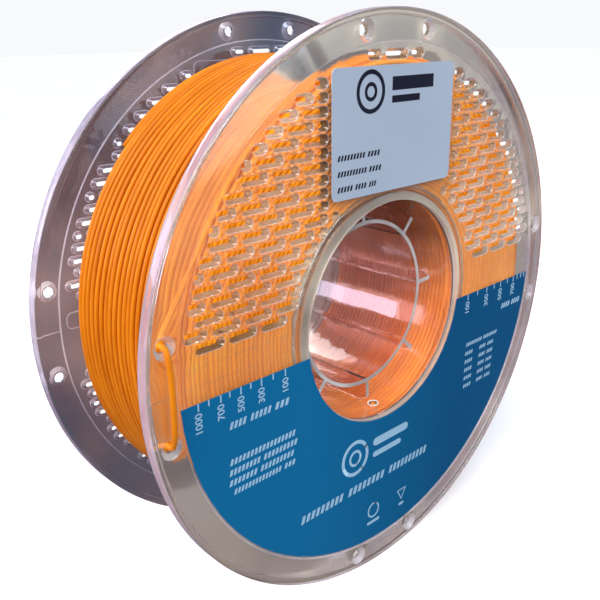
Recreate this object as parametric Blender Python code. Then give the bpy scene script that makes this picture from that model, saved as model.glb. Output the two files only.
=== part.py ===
"""Filament spool for a 3-D printer: two clear flanges on a clear hub, wound with orange filament.

Metres, +Z up. The spool stands on its rims with its axis along Y, and its labelled front faces -Y.
The origin is the middle of the hub bore.
"""

import math

import bmesh
import bpy
from mathutils import Matrix, Vector

MM = 0.001

# Driving dimensions
SPOOL_WIDTH = 67.5 * MM  # outer face to outer face of the two rims
FLANGE_RADIUS = 100.0 * MM
RIM_BAND = 9.8 * MM  # smooth band between the slotted field and the edge
RIM_THICKNESS = 4.3 * MM
RIM_BEAD = 2.2 * MM  # radial width of the thick edge
RIM_ROUNDING = 0.6 * MM
RIM_WEB_STEP = 0.05 * MM  # the rim's web stands this far past the plate on its inner side
RECESS_DEPTH = 0.55 * MM  # the slotted field lies this far behind the rim band
PLATE_THICKNESS = 2.0 * MM

DRUM_BORE_RADIUS = 39.5 * MM
DRUM_WALL = 2.5 * MM
COLLAR_WALL = 2.3 * MM
COLLAR_DEPTH = 2.0 * MM

CORE_BORE_RADIUS = 29.5 * MM
CORE_WALL = 1.5 * MM
CORE_FRONT_SETBACK = 12.0 * MM  # from the front rim's outer face to the end of the core tube
CORE_REAR_SETBACK = 4.5 * MM
CORE_RIB_COUNT = 8
CORE_RIB_THICKNESS = 1.6 * MM
CORE_RIB_ANGLE = 3.0  # degrees, of the first rib above +X
CORE_RIB_LEAD_IN = 1.9 * MM  # chamfer on the outer corners of each rib

SLOT_LENGTH = 10.4 * MM
SLOT_HEIGHT = 2.4 * MM
SLOT_PITCH_X = 12.0 * MM
SLOT_PITCH_Z = 4.0 * MM
SLOT_SHORTEST = 3.0 * MM
SLOT_LEAST_STRAIGHT = 0.3 * MM  # half the straight side of the shortest slot
SLOT_LEAST_POINT = 0.5 * MM  # how far a slot's pointed end reaches at least
FIRST_SLOT_ROW = 11.0 * MM  # height of the lowest row above the axis
FIELD_MARGIN = 1.9 * MM  # between the recess edge and the slots
HUB_MARGIN = 1.0 * MM  # between the collar and the slots
TOP_ROW_INSET = 4.0 * MM  # from the recess edge to the row of three slots
TOP_SLOTS = ((-10.4 * MM, 6.4 * MM), (0.0, 11.0 * MM), (10.4 * MM, 6.4 * MM))  # centre, length
STICKER_PAD_MARGIN = 1.0 * MM

TIE_HOLE_OFFSET = 15.0 * MM  # half the gap between the two holes of a pair
TIE_HOLE_INSET = 5.6 * MM  # from the flange's edge
TIE_HOLE_CLEARANCE = 0.9 * MM  # round the filament
COUNTERSINK_WIDTH = 1.75 * MM  # how much wider the countersink is than its hole, on each side
COUNTERSINK_DEPTH = 1.5 * MM

FILL_MARGIN = 14.5 * MM  # the full winding stays this far inside the flange edge
FILAMENT_DIAMETER = 1.75 * MM
START_HOLE_CLEARANCE = 0.725 * MM  # round the filament
START_HOLE_SETBACK = 9.9 * MM  # from the rim's outer face
START_HOLE_ANGLE = -86.0
TAIL_BOW = 2.6 * MM  # how far the tail stands off the rim between its two holes
TAIL_END = 9.0 * MM  # free end inside the flange

STICKER_WIDTH = 59.3 * MM
STICKER_CORNER = 2.0 * MM
STICKER_TOP_GAP = 2.0 * MM  # below the row of three slots
LABEL_TOP = -4.9 * MM
LABEL_EDGE_GAP = 0.7 * MM
LABEL_THICKNESS = 0.2 * MM
LABEL_LIFT = 0.15 * MM  # glue line between the plate and a label

GAP = 0.3 * MM
SEGMENTS = 64
OVERLAP = 0.5 * MM  # how far shapes reach into each other before they are joined

# Derived sizes
HALF_WIDTH = SPOOL_WIDTH / 2
PLATE_OUTER = HALF_WIDTH - RECESS_DEPTH
PLATE_INNER = PLATE_OUTER - PLATE_THICKNESS
RECESS_RADIUS = FLANGE_RADIUS - RIM_BAND
DRUM_RADIUS = DRUM_BORE_RADIUS + DRUM_WALL
COLLAR_INNER = DRUM_RADIUS + GAP
COLLAR_RADIUS = COLLAR_INNER + COLLAR_WALL
COLLAR_END = PLATE_INNER - COLLAR_DEPTH
CORE_RADIUS = CORE_BORE_RADIUS + CORE_WALL
CORE_FRONT = CORE_FRONT_SETBACK - HALF_WIDTH
CORE_REAR = HALF_WIDTH - CORE_REAR_SETBACK
WINDING_RADIUS = FLANGE_RADIUS - FILL_MARGIN
FILAMENT_RADIUS = FILAMENT_DIAMETER / 2
START_HOLE_RADIUS = FILAMENT_RADIUS + START_HOLE_CLEARANCE
TIE_HOLE_RADIUS = FILAMENT_RADIUS + TIE_HOLE_CLEARANCE
TIE_HOLE_CIRCLE = FLANGE_RADIUS - TIE_HOLE_INSET
TOP_ROW_Z = RECESS_RADIUS - TOP_ROW_INSET
STICKER_TOP = TOP_ROW_Z - SLOT_HEIGHT / 2 - STICKER_TOP_GAP
STICKER_BOTTOM = COLLAR_RADIUS - HUB_MARGIN
LABEL_RADIUS = RECESS_RADIUS - LABEL_EDGE_GAP
LABEL_BORE = DRUM_BORE_RADIUS + GAP

CLEAR = (0.80, 0.78, 0.74)
ORANGE = (0.95, 0.30, 0.02)
BLUE = (0.0, 0.09, 0.30)
WHITE = (0.62, 0.72, 0.84)


def clear_scene():
    for obj in list(bpy.data.objects):
        bpy.data.objects.remove(obj, do_unlink=True)


def new_collection(name):
    collection = bpy.data.collections.new(name)
    bpy.context.scene.collection.children.link(collection)
    return collection


def material(name, colour, roughness, metallic=0.0, alpha=1.0):
    made = bpy.data.materials.new(name)
    made.use_nodes = True
    shader = made.node_tree.nodes["Principled BSDF"]
    shader.inputs["Base Color"].default_value = (*colour, 1.0)
    shader.inputs["Roughness"].default_value = roughness
    shader.inputs["Metallic"].default_value = metallic
    shader.inputs["Alpha"].default_value = alpha
    return made


def add_object(name, data, collection):
    obj = bpy.data.objects.new(name, data)
    collection.objects.link(obj)
    return obj


def finish(obj, made):
    """Gives a node its material and smooth shading with sharp edges."""
    obj.data.materials.clear()
    obj.data.materials.append(made)
    obj.data.shade_smooth()
    obj.data.set_sharp_from_angle(angle=math.radians(30))
    return obj


def mesh_from(obj, name, collection):
    """A curve or a modified mesh as a plain welded mesh object, in place of the first one."""
    bpy.context.view_layer.update()
    graph = bpy.context.evaluated_depsgraph_get()
    data = bpy.data.meshes.new_from_object(obj.evaluated_get(graph))
    shape = bmesh.new()
    shape.from_mesh(data)
    bmesh.ops.remove_doubles(shape, verts=shape.verts, dist=1e-6)
    bmesh.ops.recalc_face_normals(shape, faces=shape.faces)
    shape.to_mesh(data)
    shape.free()
    made = add_object(name, data, collection)
    made.matrix_world = obj.matrix_world
    bpy.data.objects.remove(obj, do_unlink=True)
    return made


def turned(name, profile, collection, segments=SEGMENTS):
    """A ring about Y from a closed outline of (radius, y) points."""
    shape = bmesh.new()
    points = [shape.verts.new((radius, y, 0)) for radius, y in profile]
    for start, end in zip(points, points[1:] + points[:1]):
        shape.edges.new((start, end))
    bmesh.ops.spin(
        shape,
        geom=list(shape.verts) + list(shape.edges),
        cent=(0, 0, 0),
        axis=(0, 1, 0),
        angle=math.tau,
        steps=segments,
        use_merge=True,
    )
    bmesh.ops.remove_doubles(shape, verts=shape.verts, dist=1e-6)
    bmesh.ops.recalc_face_normals(shape, faces=shape.faces)
    data = bpy.data.meshes.new(name)
    shape.to_mesh(data)
    shape.free()
    return add_object(name, data, collection)


def disc(name, radius, low, high, collection):
    """A round plate about Y between two heights, its two faces each in one piece."""
    shape = bmesh.new()
    bmesh.ops.create_cone(
        shape, cap_ends=True, segments=SEGMENTS, radius1=radius, radius2=radius, depth=high - low
    )
    bmesh.ops.rotate(shape, verts=shape.verts, matrix=Matrix.Rotation(math.radians(90), 3, "X"))
    bmesh.ops.translate(shape, verts=shape.verts, vec=(0, (low + high) / 2, 0))
    data = bpy.data.meshes.new(name)
    shape.to_mesh(data)
    shape.free()
    return add_object(name, data, collection)


def flat(name, outlines, low, high, collection):
    """A sheet in the XZ plane between two heights on Y, from closed outlines: the first holds the others."""
    curve = bpy.data.curves.new(name, "CURVE")
    curve.dimensions = "2D"
    curve.fill_mode = "BOTH"
    curve.extrude = (high - low) / 2
    for outline in outlines:
        spline = curve.splines.new("POLY")
        spline.points.add(len(outline) - 1)
        for point, (x, z) in zip(spline.points, outline):
            point.co = (x, z, 0, 1)
        spline.use_cyclic_u = True
    obj = add_object(name + "_outline", curve, collection)
    obj.rotation_euler.x = math.radians(90)
    obj.location.y = (low + high) / 2
    made = mesh_from(obj, name, collection)
    made.data.transform(made.matrix_world)
    made.matrix_world.identity()
    return made


def arc(radius, start, end, steps):
    """Points of an arc about the origin, angles in radians."""
    turns = [start + (end - start) * step / steps for step in range(steps + 1)]
    return [(radius * math.cos(turn), radius * math.sin(turn)) for turn in turns]


def circle(radius, segments=SEGMENTS):
    return arc(radius, 0, math.tau, segments)[:-1]


def modify(obj, other, operation):
    """Cuts or joins another object and applies it, so that the result is one plain mesh."""
    change = obj.modifiers.new(operation.title(), "BOOLEAN")
    change.operation = operation
    change.object = other
    bpy.context.view_layer.update()
    graph = bpy.context.evaluated_depsgraph_get()
    data = bpy.data.meshes.new_from_object(obj.evaluated_get(graph))
    obj.modifiers.clear()
    obj.data = data
    bpy.data.objects.remove(other, do_unlink=True)


def slot_outline(x, z, length):
    """A long slot with pointed ends, which stand for its round ones."""
    half_height = SLOT_HEIGHT / 2
    straight = max(length / 2 - half_height, SLOT_LEAST_STRAIGHT)
    reach = max(length / 2, straight + SLOT_LEAST_POINT)
    return [
        (x - reach, z),
        (x - straight, z - half_height),
        (x + straight, z - half_height),
        (x + reach, z),
        (x + straight, z + half_height),
        (x - straight, z + half_height),
    ]


def half_chord(radius, z):
    """Half the width of a circle at the height where a slot's farther edge lies."""
    reach = abs(z) + SLOT_HEIGHT / 2
    return math.sqrt(max(radius**2 - reach**2, 0.0))


def blocked_half_width(z):
    """How far from the middle a row stays closed, for the hub or for the sticker's pad."""
    near = max(abs(z) - SLOT_HEIGHT / 2, 0.0)
    hub = COLLAR_RADIUS + HUB_MARGIN
    width = math.sqrt(max(hub**2 - near**2, 0.0))
    if z + SLOT_HEIGHT / 2 > STICKER_BOTTOM - STICKER_PAD_MARGIN and z < TOP_ROW_Z:
        width = max(width, STICKER_WIDTH / 2 + STICKER_PAD_MARGIN)
    return width


def slot_field():
    """Outlines of the staggered rows above the filament window, and of the short row above them."""
    outlines = []
    field = RECESS_RADIUS - FIELD_MARGIN
    row = 0
    z = FIRST_SLOT_ROW
    while z < TOP_ROW_Z - SLOT_PITCH_Z:
        half = half_chord(field, z)
        closed = blocked_half_width(z)
        shift = SLOT_PITCH_X / 2 if row % 2 == 0 else 0.0
        count = int(field / SLOT_PITCH_X) + 2
        for index in range(-count, count + 1):
            middle = index * SLOT_PITCH_X + shift
            side = 1 if middle >= 0 else -1
            inner = max(abs(middle) - SLOT_LENGTH / 2, closed)
            outer = min(abs(middle) + SLOT_LENGTH / 2, half)
            if middle == 0 and closed == 0:
                inner = -SLOT_LENGTH / 2
            if outer - inner >= SLOT_SHORTEST:
                outlines.append(slot_outline(side * (inner + outer) / 2, z, outer - inner))
        row += 1
        z += SLOT_PITCH_Z
    for x, length in TOP_SLOTS:
        outlines.append(slot_outline(x, TOP_ROW_Z, length))
    return outlines


def tie_hole_places():
    """The four pairs of small holes near the edge that hold the filament's end."""
    reach = math.sqrt(TIE_HOLE_CIRCLE**2 - TIE_HOLE_OFFSET**2)
    places = []
    for sign in (-1, 1):
        for offset in (-TIE_HOLE_OFFSET, TIE_HOLE_OFFSET):
            places.append((sign * reach, offset))
            places.append((offset, sign * reach))
    return places


def hole_cutter(x, z, collection):
    """A straight hole with a countersink towards -Y, as one turned cutter."""
    outside = 1.0 * MM
    inside = 2.0 * MM
    flare = TIE_HOLE_RADIUS + COUNTERSINK_WIDTH * (COUNTERSINK_DEPTH + outside) / COUNTERSINK_DEPTH
    profile = [
        (0, -HALF_WIDTH - outside),
        (flare, -HALF_WIDTH - outside),
        (TIE_HOLE_RADIUS, -HALF_WIDTH + COUNTERSINK_DEPTH),
        (TIE_HOLE_RADIUS, -PLATE_INNER + inside),
        (0, -PLATE_INNER + inside),
    ]
    shape = bmesh.new()
    points = [shape.verts.new((radius, y, 0)) for radius, y in profile]
    for start, end in zip(points, points[1:]):
        shape.edges.new((start, end))
    bmesh.ops.spin(
        shape,
        geom=list(shape.verts) + list(shape.edges),
        cent=(0, 0, 0),
        axis=(0, 1, 0),
        angle=math.tau,
        steps=10,
        use_merge=True,
    )
    bmesh.ops.remove_doubles(shape, verts=shape.verts, dist=1e-6)
    bmesh.ops.recalc_face_normals(shape, faces=shape.faces)
    bmesh.ops.translate(shape, verts=shape.verts, vec=(x, 0, z))
    data = bpy.data.meshes.new("tie_hole_cutter")
    shape.to_mesh(data)
    shape.free()
    return add_object("tie_hole_cutter", data, collection)


def front_flange(collection, cutters, made):
    """The labelled flange: slotted plate, rim with its thick edge, and the collar that takes the drum."""
    plate = disc("front_flange", RECESS_RADIUS + OVERLAP, -PLATE_OUTER, -PLATE_INNER, collection)
    edge = FLANGE_RADIUS
    rim_inner = -HALF_WIDTH + RIM_THICKNESS
    rim = turned(
        "rim",
        [
            (RECESS_RADIUS, -HALF_WIDTH),
            (edge - RIM_ROUNDING, -HALF_WIDTH),
            (edge, -HALF_WIDTH + RIM_ROUNDING),
            (edge, rim_inner - RIM_ROUNDING),
            (edge - RIM_ROUNDING, rim_inner),
            (edge - RIM_BEAD, rim_inner),
            (edge - RIM_BEAD, -PLATE_INNER + RIM_WEB_STEP),
            (RECESS_RADIUS, -PLATE_INNER + RIM_WEB_STEP),
        ],
        cutters,
    )
    collar = turned(
        "collar",
        [
            (COLLAR_INNER, -PLATE_INNER - OVERLAP),
            (COLLAR_RADIUS, -PLATE_INNER - OVERLAP),
            (COLLAR_RADIUS, -COLLAR_END),
            (COLLAR_INNER, -COLLAR_END),
        ],
        cutters,
    )
    modify(plate, rim, "UNION")
    modify(plate, collar, "UNION")
    bore = disc("bore_cutter", DRUM_BORE_RADIUS, -HALF_WIDTH, -PLATE_INNER + OVERLAP, cutters)
    modify(plate, bore, "DIFFERENCE")
    slots = flat("slot_cutter", slot_field(), -HALF_WIDTH, -PLATE_INNER + OVERLAP, cutters)
    modify(plate, slots, "DIFFERENCE")
    for x, z in tie_hole_places():
        modify(plate, hole_cutter(x, z, cutters), "DIFFERENCE")
    return finish(plate, made)


def rear_flange(front, collection, made):
    """The same moulding turned to face the other way."""
    data = front.data.copy()
    shape = bmesh.new()
    shape.from_mesh(data)
    for vertex in shape.verts:
        vertex.co.y = -vertex.co.y
    bmesh.ops.reverse_faces(shape, faces=shape.faces)
    shape.to_mesh(data)
    shape.free()
    return finish(add_object("rear_flange", data, collection), made)


def start_rod(name, radius, low, high, collection):
    """A rod along the line of the drum's hole, between two distances from the axis."""
    shape = bmesh.new()
    bmesh.ops.create_cone(
        shape, cap_ends=True, segments=12, radius1=radius, radius2=radius, depth=high - low
    )
    data = bpy.data.meshes.new(name)
    shape.to_mesh(data)
    shape.free()
    turn = math.radians(START_HOLE_ANGLE)
    outward = Vector((math.cos(turn), 0, math.sin(turn)))
    place = outward * (low + high) / 2 - Vector((0, HALF_WIDTH - START_HOLE_SETBACK, 0))
    data.transform(Matrix.LocRotScale(place, outward.to_track_quat("Z", "Y"), None))
    return add_object(name, data, collection)


def hub_drum(collection, cutters, made):
    """The tube that the filament is wound on, with the hole for the filament's start."""
    end = PLATE_INNER - GAP
    drum = turned(
        "hub_drum",
        [
            (DRUM_BORE_RADIUS, -end),
            (DRUM_RADIUS, -end),
            (DRUM_RADIUS, end),
            (DRUM_BORE_RADIUS, end),
        ],
        collection,
    )
    reach = 4.0 * MM
    hole = start_rod("start_hole_cutter", START_HOLE_RADIUS, DRUM_BORE_RADIUS - reach, DRUM_RADIUS + reach, cutters)
    modify(drum, hole, "DIFFERENCE")
    return finish(drum, made)


def core_rib(number, collection):
    """One rib along the core tube, with its outer corners cut back so that it slides into the drum."""
    outer = DRUM_BORE_RADIUS - GAP
    inner = CORE_RADIUS - OVERLAP
    lead = CORE_RIB_LEAD_IN
    outline = [
        (inner, CORE_FRONT),
        (outer - lead, CORE_FRONT),
        (outer, CORE_FRONT + 2 * lead),
        (outer, CORE_REAR - 2 * lead),
        (outer - lead, CORE_REAR),
        (inner, CORE_REAR),
    ]
    shape = bmesh.new()
    half = CORE_RIB_THICKNESS / 2
    face = shape.faces.new([shape.verts.new((radius, y, -half)) for radius, y in outline])
    grown = bmesh.ops.extrude_face_region(shape, geom=[face])
    moved = [item for item in grown["geom"] if isinstance(item, bmesh.types.BMVert)]
    bmesh.ops.translate(shape, verts=moved, vec=(0, 0, CORE_RIB_THICKNESS))
    bmesh.ops.recalc_face_normals(shape, faces=shape.faces)
    turn = math.radians(CORE_RIB_ANGLE) + math.tau * number / CORE_RIB_COUNT
    for vertex in shape.verts:
        x, z = vertex.co.x, vertex.co.z
        vertex.co.x = x * math.cos(turn) - z * math.sin(turn)
        vertex.co.z = x * math.sin(turn) + z * math.cos(turn)
    data = bpy.data.meshes.new("core_rib")
    shape.to_mesh(data)
    shape.free()
    return add_object("core_rib", data, collection)


def core_tube(collection, cutters, made):
    """The inner tube that the holder's rod passes through, with the ribs that centre it in the drum."""
    tube = turned(
        "core_tube",
        [
            (CORE_BORE_RADIUS, CORE_FRONT),
            (CORE_RADIUS, CORE_FRONT),
            (CORE_RADIUS, CORE_REAR),
            (CORE_BORE_RADIUS, CORE_REAR),
        ],
        collection,
    )
    for number in range(CORE_RIB_COUNT):
        modify(tube, core_rib(number, cutters), "UNION")
    return finish(tube, made)


def filament_winding(collection, made):
    """The wound filament as one solid ring, stepped round the flange collars."""
    side = PLATE_INNER - GAP
    corner = FILAMENT_RADIUS
    past_collar = COLLAR_END - GAP
    winding = turned(
        "filament_winding",
        [
            (DRUM_RADIUS + GAP, -past_collar),
            (COLLAR_RADIUS + GAP, -past_collar),
            (COLLAR_RADIUS + GAP, -side),
            (WINDING_RADIUS - corner, -side),
            (WINDING_RADIUS, -side + corner),
            (WINDING_RADIUS, side - corner),
            (WINDING_RADIUS - corner, side),
            (COLLAR_RADIUS + GAP, side),
            (COLLAR_RADIUS + GAP, past_collar),
            (DRUM_RADIUS + GAP, past_collar),
        ],
        collection,
    )
    return finish(winding, made)


def filament_start(collection, made):
    """The strand's first end, standing in the drum's hole."""
    start = start_rod("filament_start", FILAMENT_RADIUS, DRUM_BORE_RADIUS, DRUM_RADIUS, collection)
    return finish(start, made)


def tail_route():
    """The strand's last end: off the winding, out through one tie hole, down the rim and in through the next."""
    x = -math.sqrt(TIE_HOLE_CIRCLE**2 - TIE_HOLE_OFFSET**2)
    wound = WINDING_RADIUS + FILAMENT_RADIUS + GAP
    inside = -PLATE_INNER + FILAMENT_RADIUS + 1.2 * MM
    leave = math.pi - math.asin(TIE_HOLE_OFFSET / TIE_HOLE_CIRCLE) - math.acos(wound / TIE_HOLE_CIRCLE)
    points = []
    for step in range(5):
        turn = leave - math.radians(16) * (4 - step) / 4
        points.append((wound * math.cos(turn), inside, wound * math.sin(turn)))
    last = points[-1]
    face = -HALF_WIDTH
    plate = -PLATE_INNER
    half = TIE_HOLE_OFFSET
    points += [
        ((last[0] + 2 * x) / 3, inside, (last[2] + 2 * half) / 3 + 0.8 * MM),
        (x + 0.5 * MM, plate + 1.5 * MM, half + 1.6 * MM),
        (x, plate - 0.2 * MM, half + 0.1 * MM),
        (x, face + 0.1 * MM, half - 0.1 * MM),
        (x, face - 0.45 * TAIL_BOW, half * 0.88),
        (x - 0.2 * MM, face - 0.86 * TAIL_BOW, half * 0.58),
        (x - 0.3 * MM, face - TAIL_BOW, half * 0.2),
        (x - 0.3 * MM, face - TAIL_BOW, -half * 0.2),
        (x - 0.2 * MM, face - 0.86 * TAIL_BOW, -half * 0.58),
        (x, face - 0.45 * TAIL_BOW, -half * 0.88),
        (x, face + 0.1 * MM, -half + 0.1 * MM),
        (x, plate - 0.2 * MM, -half - 0.1 * MM),
        (x, plate + 0.35 * TAIL_END, -half - 0.12 * TAIL_END),
        (x, plate + TAIL_END, -half - 0.45 * TAIL_END),
    ]
    return [Vector(point) for point in points]


def smooth_route(points, steps):
    """Catmull-Rom points through the route."""
    ends = [2 * points[0] - points[1]] + points + [2 * points[-1] - points[-2]]
    route = []
    for a, b, c, d in zip(ends, ends[1:], ends[2:], ends[3:]):
        for step in range(steps):
            t = step / steps
            route.append(
                0.5 * (2 * b + (c - a) * t + (2 * a - 5 * b + 4 * c - d) * t**2 + (3 * b - a - 3 * c + d) * t**3)
            )
    return route + [points[-1]]


def filament_tail(collection, made):
    curve = bpy.data.curves.new("filament_tail", "CURVE")
    curve.dimensions = "3D"
    curve.bevel_depth = FILAMENT_RADIUS
    curve.bevel_resolution = 2
    curve.use_fill_caps = True
    route = smooth_route(tail_route(), 3)
    spline = curve.splines.new("POLY")
    spline.points.add(len(route) - 1)
    for point, place in zip(spline.points, route):
        point.co = (*place, 1)
    tube = add_object("tail_curve", curve, collection)
    return finish(mesh_from(tube, "filament_tail", collection), made)


def rounded_rectangle(low_x, high_x, low_z, high_z, radius, steps=4):
    corners = (
        (high_x - radius, high_z - radius, 0),
        (low_x + radius, high_z - radius, 1),
        (low_x + radius, low_z + radius, 2),
        (high_x - radius, low_z + radius, 3),
    )
    points = []
    for x, z, quarter in corners:
        start = quarter * math.pi / 2
        points += [(x + dx, z + dz) for dx, dz in arc(radius, start, start + math.pi / 2, steps)]
    return points


def labels(collection, white, blue):
    """The plain sticker above the hub and the printed label that covers the lower half."""
    low = -PLATE_OUTER - LABEL_LIFT - LABEL_THICKNESS
    high = -PLATE_OUTER - LABEL_LIFT
    half = STICKER_WIDTH / 2
    outline = rounded_rectangle(-half, half, STICKER_BOTTOM, STICKER_TOP, STICKER_CORNER)
    finish(flat("white_label", [outline], low, high, collection), white)
    outer_turn = math.asin(LABEL_TOP / LABEL_RADIUS)
    inner_turn = math.asin(LABEL_TOP / LABEL_BORE)
    outline = arc(LABEL_RADIUS, -math.pi - outer_turn, outer_turn, 40)
    outline += arc(LABEL_BORE, inner_turn, -math.pi - inner_turn, 28)
    finish(flat("blue_label", [outline], low, high, collection), blue)


def main():
    clear_scene()
    spool = new_collection("filament_spool")
    cutters = new_collection("cutters")
    cutters.hide_render = True
    clear = material("clear_plastic", CLEAR, 0.08, alpha=0.35)
    orange = material("orange_filament", ORANGE, 0.35)
    front = front_flange(spool, cutters, clear)
    rear_flange(front, spool, clear)
    hub_drum(spool, cutters, clear)
    core_tube(spool, cutters, clear)
    filament_winding(spool, orange)
    filament_start(spool, orange)
    filament_tail(spool, orange)
    labels(spool, material("white_paper", WHITE, 0.5), material("blue_print", BLUE, 0.4))


main()
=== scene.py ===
"""Looks of the filament spool: clear flanges, wound orange strand, hub and labels, round the CAD part."""

import math
import random

import bmesh
import bpy
from mathutils import Matrix, Vector
from mathutils.geometry import delaunay_2d_cdt


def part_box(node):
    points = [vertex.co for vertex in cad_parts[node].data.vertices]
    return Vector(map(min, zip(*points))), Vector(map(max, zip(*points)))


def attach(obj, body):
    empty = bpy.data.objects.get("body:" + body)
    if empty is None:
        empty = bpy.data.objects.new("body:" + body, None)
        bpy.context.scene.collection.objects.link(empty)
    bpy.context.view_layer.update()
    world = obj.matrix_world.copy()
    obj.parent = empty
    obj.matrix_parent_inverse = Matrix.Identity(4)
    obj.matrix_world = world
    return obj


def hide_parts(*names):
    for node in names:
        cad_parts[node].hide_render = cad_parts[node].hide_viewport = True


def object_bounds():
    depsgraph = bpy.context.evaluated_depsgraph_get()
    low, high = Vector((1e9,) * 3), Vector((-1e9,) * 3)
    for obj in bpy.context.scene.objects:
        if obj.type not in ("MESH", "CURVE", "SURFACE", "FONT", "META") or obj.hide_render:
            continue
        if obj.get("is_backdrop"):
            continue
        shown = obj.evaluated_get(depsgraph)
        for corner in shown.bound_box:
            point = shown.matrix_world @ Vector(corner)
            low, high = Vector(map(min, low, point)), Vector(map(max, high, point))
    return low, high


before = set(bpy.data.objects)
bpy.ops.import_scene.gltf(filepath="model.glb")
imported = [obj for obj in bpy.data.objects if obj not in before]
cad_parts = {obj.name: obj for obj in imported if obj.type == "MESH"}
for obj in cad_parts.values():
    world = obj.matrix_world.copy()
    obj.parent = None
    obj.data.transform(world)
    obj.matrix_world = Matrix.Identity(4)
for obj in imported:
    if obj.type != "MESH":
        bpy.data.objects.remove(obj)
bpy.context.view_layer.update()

ROOT = "root"
MM = 0.001
FINE = 192  # sides of the large rounds

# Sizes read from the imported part
FLANGE_LOW, FLANGE_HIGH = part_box("front_flange")
FLANGE_RADIUS = FLANGE_HIGH.x
HALF_WIDTH = -FLANGE_LOW.y
WINDING_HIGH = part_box("filament_winding")[1]
WINDING_RADIUS = WINDING_HIGH.x
WINDING_HALF = WINDING_HIGH.y
DRUM_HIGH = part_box("hub_drum")[1]
DRUM_RADIUS = DRUM_HIGH.x
DRUM_HALF = DRUM_HIGH.y
CORE_LOW, CORE_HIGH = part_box("core_tube")
CORE_FRONT = CORE_LOW.y
CORE_REAR = CORE_HIGH.y
BLUE_LOW, BLUE_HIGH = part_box("blue_label")
WHITE_LOW, WHITE_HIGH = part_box("white_label")
LABEL_FACE = BLUE_LOW.y

# Sizes of the moulding
RIM_BAND = 9.8 * MM
RIM_THICKNESS = 4.3 * MM
RIM_BEAD = 2.2 * MM
RIM_ROUNDING = 0.6 * MM
RECESS_DEPTH = 0.55 * MM
PLATE_THICKNESS = 2.0 * MM
DRUM_WALL = 2.5 * MM
COLLAR_WALL = 2.3 * MM
COLLAR_DEPTH = 2.0 * MM
CORE_BORE_RADIUS = 29.5 * MM
CORE_WALL = 1.5 * MM
GAP = 0.3 * MM
STRAND = 1.75 * MM

PLATE_OUTER = HALF_WIDTH - RECESS_DEPTH
PLATE_INNER = PLATE_OUTER - PLATE_THICKNESS
RECESS_RADIUS = FLANGE_RADIUS - RIM_BAND
BEAD_RADIUS = FLANGE_RADIUS - RIM_BEAD
DRUM_BORE = DRUM_RADIUS - DRUM_WALL
COLLAR_INNER = DRUM_RADIUS + GAP
COLLAR_RADIUS = COLLAR_INNER + COLLAR_WALL
COLLAR_END = PLATE_INNER - COLLAR_DEPTH
CORE_RADIUS = CORE_BORE_RADIUS + CORE_WALL

# The slotted field
SLOT_PITCH_X = 12.0 * MM
SLOT_PITCH_Z = 4.0 * MM
FIRST_ROW = 11.0 * MM
LOWER_ROW = -17.0 * MM
SLOT_MOUTH = (10.4 * MM, 3.1 * MM)  # length and height at the outer face
SLOT_SLIT = (7.7 * MM, 1.35 * MM)  # at the inner face
MOUTH_ROUNDING = 0.28 * MM
SHORTEST_SLOT = 3.0 * MM
FIELD_RADIUS = RECESS_RADIUS - 1.9 * MM
HUB_FIELD_RADIUS = COLLAR_RADIUS + 1.0 * MM
TOP_ROW_Z = RECESS_RADIUS - 4.0 * MM
TOP_SLOTS = ((-10.4 * MM, 6.4 * MM), (0.0, 11.0 * MM), (10.4 * MM, 6.4 * MM))
PAD_HALF = WHITE_HIGH.x + 1.0 * MM
PAD_BOTTOM = WHITE_LOW.z - 1.0 * MM

TIE_RADIUS = 94.4 * MM
TIE_OFFSET = 15.0 * MM
TIE_HOLE = 1.78 * MM
TIE_SINK = 3.52 * MM
TIE_SINK_DEPTH = 1.5 * MM


# ---------------------------------------------------------------- mesh helpers


def add_mesh(name, shape, material=None, smooth=40):
    """A bmesh as a mesh object in the scene with its material and smooth shading."""
    bmesh.ops.remove_doubles(shape, verts=shape.verts, dist=1e-7)
    data = bpy.data.meshes.new(name)
    shape.to_mesh(data)
    shape.free()
    obj = bpy.data.objects.new(name, data)
    bpy.context.scene.collection.objects.link(obj)
    if material:
        data.materials.append(material)
    data.shade_smooth()
    if smooth:
        data.set_sharp_from_angle(angle=math.radians(smooth))
    return obj


def ring(shape, profile, steps=FINE, closed=True):
    """Turns an outline of (radius, y) points about Y and adds it to a bmesh."""
    rows = []
    for step in range(steps):
        turn = math.tau * step / steps
        c, s = math.cos(turn), math.sin(turn)
        rows.append([shape.verts.new((r * c, y, r * s)) for r, y in profile])
    count = len(profile)
    last = count if closed else count - 1
    for step in range(steps):
        a, b = rows[step], rows[(step + 1) % steps]
        for i in range(last):
            j = (i + 1) % count
            shape.faces.new((a[i], a[j], b[j], b[i]))


def tube(shape, centres, radius, sides=8, closed=False):
    """A tube of round section along a list of points."""
    count = len(centres)
    rows = []
    normal = None
    for i, centre in enumerate(centres):
        before = centres[i - 1] if (i > 0 or closed) else centres[0]
        after = centres[(i + 1) % count] if (i < count - 1 or closed) else centres[-1]
        along = (after - before).normalized()
        if normal is None:
            normal = along.orthogonal().normalized()
        normal = (normal - along * normal.dot(along)).normalized()
        side = along.cross(normal)
        rows.append(
            [
                shape.verts.new(centre + (normal * math.cos(t) + side * math.sin(t)) * radius)
                for t in (math.tau * k / sides for k in range(sides))
            ]
        )
    last = count if closed else count - 1
    for i in range(last):
        a, b = rows[i], rows[(i + 1) % count]
        for k in range(sides):
            n = (k + 1) % sides
            shape.faces.new((a[k], a[n], b[n], b[k]))
    if not closed:
        shape.faces.new(list(reversed(rows[0])))
        shape.faces.new(rows[-1])


def circle(radius, steps=FINE, x=0.0, z=0.0):
    return [
        (x + radius * math.cos(math.tau * k / steps), z + radius * math.sin(math.tau * k / steps))
        for k in range(steps)
    ]


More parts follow.
